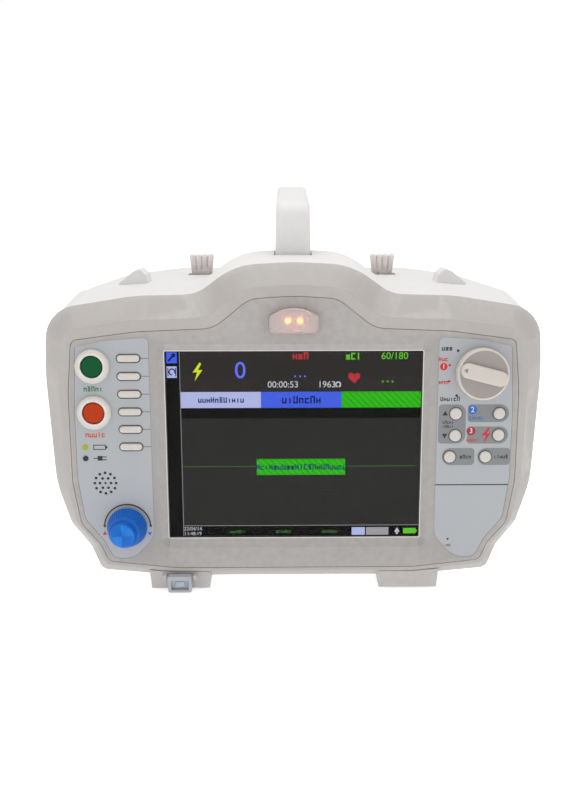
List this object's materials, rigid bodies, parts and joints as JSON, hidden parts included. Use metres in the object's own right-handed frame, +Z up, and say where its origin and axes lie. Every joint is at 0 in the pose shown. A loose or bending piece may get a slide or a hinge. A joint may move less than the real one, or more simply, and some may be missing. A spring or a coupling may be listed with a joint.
{
  "type": "defibrillator",
  "caption": "Portable monitor defibrillator with a tilted display, control panels, a top carrying handle, sprung paddle catches and a side printer.",
  "frame": {"origin": "on the table, under the middle of the machine's box", "axes": "+X to the right as seen from the front, -Y out of the front panel, +Z up"},
  "size_m": [0.4106, 0.2866, 0.3209],
  "materials": {
    "cover_white": "fine spark-eroded texture",
    "bezel_grey": "fine spark-eroded texture, warm grey",
    "label_film": "satin polyester film",
    "key_cream": "satin",
    "green_cap": "satin",
    "orange_cap": "satin",
    "blue_knob": "satin",
    "latch_beige": "satin",
    "display_glass": "clear, anti-glare",
    "lens_clear": "frosted pink-grey",
    "led": "lit",
    "panel_black": "matt",
    "board_green": "solder resist",
    "steel": "brushed",
    "sheet_aluminium": "mill finish",
    "rubber_black": "matt",
    "paper": "thermal paper",
    "socket_grey": "satin",
    "battery_grey": "satin",
    "cell_blue": "sleeve"
  },
  "bodies": {
    "main_unit": {"alarm_lens": "lens_clear", "button_rings": "key_cream", "carry_handle": "cover_white", "charge_transformer": "panel_black", "chassis": "sheet_aluminium", "cover_screws": "steel", "display_window": "display_glass", "ecg_socket": "socket_grey", "foot_pads": "rubber_black", "front_bezel": "bezel_grey", "front_fascia": "bezel_grey", "front_feet": "bezel_grey", "front_seal": "rubber_black", "hinge_pins": "steel", "indicator_lights": "led", "lcd_module": "panel_black", "left_label": "label_film", "main_board": "board_green", "mains_inlet": "panel_black", "microphone": "sheet_aluminium", "paddle_socket": "socket_grey", "panel_boards": "board_green", "panel_switches": "sheet_aluminium", "power_board": "board_green", "print_head": "sheet_aluminium", "printer_frame": "socket_grey", "rear_feet": "bezel_grey", "rear_housing": "cover_white", "right_label": "label_film", "sensor_socket": "socket_grey", "shock_capacitor": "cell_blue", "side_panels": "cover_white", "speaker": "panel_black", "top_cover": "cover_white", "transfer_relay": "panel_black"},
    "print_button": {"print_button": "green_cap"},
    "alarm_button": {"alarm_button": "orange_cap"},
    "mode_knob": {"mode_knob": "key_cream"},
    "encoder_spindle": {"encoder_spindle": "steel"},
    "encoder_knob": {"encoder_knob": "blue_knob"},
    "paddle_latch_left": {"paddle_latch_left": "latch_beige"},
    "paddle_latch_right": {"paddle_latch_right": "latch_beige"},
    "port_flap": {"port_flap": "label_film"},
    "printer_door": {"printer_door": "bezel_grey"},
    "platen_roller": {"platen_roller": "rubber_black"},
    "paper_roll": {"paper_roll": "paper"},
    "battery_pack": {"battery_pack": "battery_grey"},
    "soft_key_1": {"soft_key_1": "key_cream"},
    "soft_key_2": {"soft_key_2": "key_cream"},
    "soft_key_3": {"soft_key_3": "key_cream"},
    "soft_key_4": {"soft_key_4": "key_cream"},
    "soft_key_5": {"soft_key_5": "key_cream"},
    "soft_key_6": {"soft_key_6": "key_cream"},
    "energy_up_key": {"energy_up_key": "key_cream"},
    "energy_down_key": {"energy_down_key": "key_cream"},
    "charge_key": {"charge_key": "key_cream"},
    "shock_key": {"shock_key": "key_cream"},
    "sync_key": {"sync_key": "key_cream"},
    "disarm_key": {"disarm_key": "key_cream"}
  },
  "joints": [
    {"name": "soft_key_1_press", "type": "slide", "parent": "main_unit", "child": "soft_key_1", "axis": [0, 0.9903, -0.1392], "range_m": [0, 0.0008], "stiffness_N_per_m": 250, "springref_m": -0.002},
    {"name": "soft_key_2_press", "type": "slide", "parent": "main_unit", "child": "soft_key_2", "axis": [0, 0.9903, -0.1392], "range_m": [0, 0.0008], "stiffness_N_per_m": 250, "springref_m": -0.002},
    {"name": "soft_key_3_press", "type": "slide", "parent": "main_unit", "child": "soft_key_3", "axis": [0, 0.9903, -0.1392], "range_m": [0, 0.0008], "stiffness_N_per_m": 250, "springref_m": -0.002},
    {"name": "soft_key_4_press", "type": "slide", "parent": "main_unit", "child": "soft_key_4", "axis": [0, 0.9903, -0.1392], "range_m": [0, 0.0008], "stiffness_N_per_m": 250, "springref_m": -0.002},
    {"name": "soft_key_5_press", "type": "slide", "parent": "main_unit", "child": "soft_key_5", "axis": [0, 0.9903, -0.1392], "range_m": [0, 0.0008], "stiffness_N_per_m": 250, "springref_m": -0.002},
    {"name": "soft_key_6_press", "type": "slide", "parent": "main_unit", "child": "soft_key_6", "axis": [0, 0.9903, -0.1392], "range_m": [0, 0.0008], "stiffness_N_per_m": 250, "springref_m": -0.002},
    {"name": "energy_up_key_press", "type": "slide", "parent": "main_unit", "child": "energy_up_key", "axis": [0, 0.9903, -0.1392], "range_m": [0, 0.0008], "stiffness_N_per_m": 250, "springref_m": -0.002},
    {"name": "energy_down_key_press", "type": "slide", "parent": "main_unit", "child": "energy_down_key", "axis": [0, 0.9903, -0.1392], "range_m": [0, 0.0008], "stiffness_N_per_m": 250, "springref_m": -0.002},
    {"name": "charge_key_press", "type": "slide", "parent": "main_unit", "child": "charge_key", "axis": [0, 0.9903, -0.1392], "range_m": [0, 0.0008], "stiffness_N_per_m": 250, "springref_m": -0.002},
    {"name": "shock_key_press", "type": "slide", "parent": "main_unit", "child": "shock_key", "axis": [0, 0.9903, -0.1392], "range_m": [0, 0.0008], "stiffness_N_per_m": 250, "springref_m": -0.002},
    {"name": "sync_key_press", "type": "slide", "parent": "main_unit", "child": "sync_key", "axis": [0, 0.9903, -0.1392], "range_m": [0, 0.0008], "stiffness_N_per_m": 250, "springref_m": -0.002},
    {"name": "disarm_key_press", "type": "slide", "parent": "main_unit", "child": "disarm_key", "axis": [0, 0.9903, -0.1392], "range_m": [0, 0.0008], "stiffness_N_per_m": 250, "springref_m": -0.002},
    {"name": "print_button_press", "type": "slide", "parent": "main_unit", "child": "print_button", "axis": [0, 0.9903, -0.1392], "range_m": [0, 0.0015], "stiffness_N_per_m": 250, "springref_m": -0.002},
    {"name": "alarm_button_press", "type": "slide", "parent": "main_unit", "child": "alarm_button", "axis": [0, 0.9903, -0.1392], "range_m": [0, 0.0015], "stiffness_N_per_m": 250, "springref_m": -0.002},
    {"name": "encoder_press", "type": "slide", "parent": "main_unit", "child": "encoder_spindle", "axis": [0, 0.9903, -0.1392], "range_m": [0, 0.001], "stiffness_N_per_m": 900, "springref_m": -0.002},
    {"name": "encoder_turn", "type": "hinge", "parent": "encoder_spindle", "child": "encoder_knob", "pos_m": [-0.1399, -0.12702, 0.05916], "axis": [0, -0.9903, 0.1392], "continuous": true},
    {"name": "mode_turn", "type": "hinge", "parent": "main_unit", "child": "mode_knob", "pos_m": [0.153, -0.10409, 0.1864], "axis": [0, -0.9903, 0.1392], "range_deg": [-30, 60]},
    {"name": "paddle_latch_left_tilt", "type": "hinge", "parent": "main_unit", "child": "paddle_latch_left", "pos_m": [-0.09, 0.0794, 0.226], "axis": [-1, 0, 0], "range_deg": [0, 12], "stiffness_Nm_per_rad": 0.4, "springref_deg": -11.46},
    {"name": "paddle_latch_right_tilt", "type": "hinge", "parent": "main_unit", "child": "paddle_latch_right", "pos_m": [0.09, 0.0794, 0.226], "axis": [-1, 0, 0], "range_deg": [0, 12], "stiffness_Nm_per_rad": 0.4, "springref_deg": -11.46},
    {"name": "port_flap_swing", "type": "hinge", "parent": "main_unit", "child": "port_flap", "pos_m": [-0.097, -0.1246, 0.0142], "axis": [-1, 0, 0], "range_deg": [0, 80]},
    {"name": "printer_door_swing", "type": "hinge", "parent": "main_unit", "child": "printer_door", "pos_m": [-0.195, 0.0754, 0.156], "axis": [0, 0, -1], "range_deg": [0, 100]},
    {"name": "platen_spin", "type": "hinge", "parent": "printer_door", "child": "platen_roller", "pos_m": [-0.188, -0.0116, 0.156], "axis": [0, 0, 1], "continuous": true},
    {"name": "paper_roll_spin", "type": "hinge", "parent": "main_unit", "child": "paper_roll", "pos_m": [-0.1665, 0.0384, 0.156], "axis": [0, 0, 1], "continuous": true},
    {"name": "battery_slide", "type": "slide", "parent": "main_unit", "child": "battery_pack", "axis": [0, 1, 0], "range_m": [0, 0.15]}
  ],
  "couplings": [
    {"joint": "platen_spin", "follows": "paper_roll_spin", "ratio": 3.8889}
  ]
}
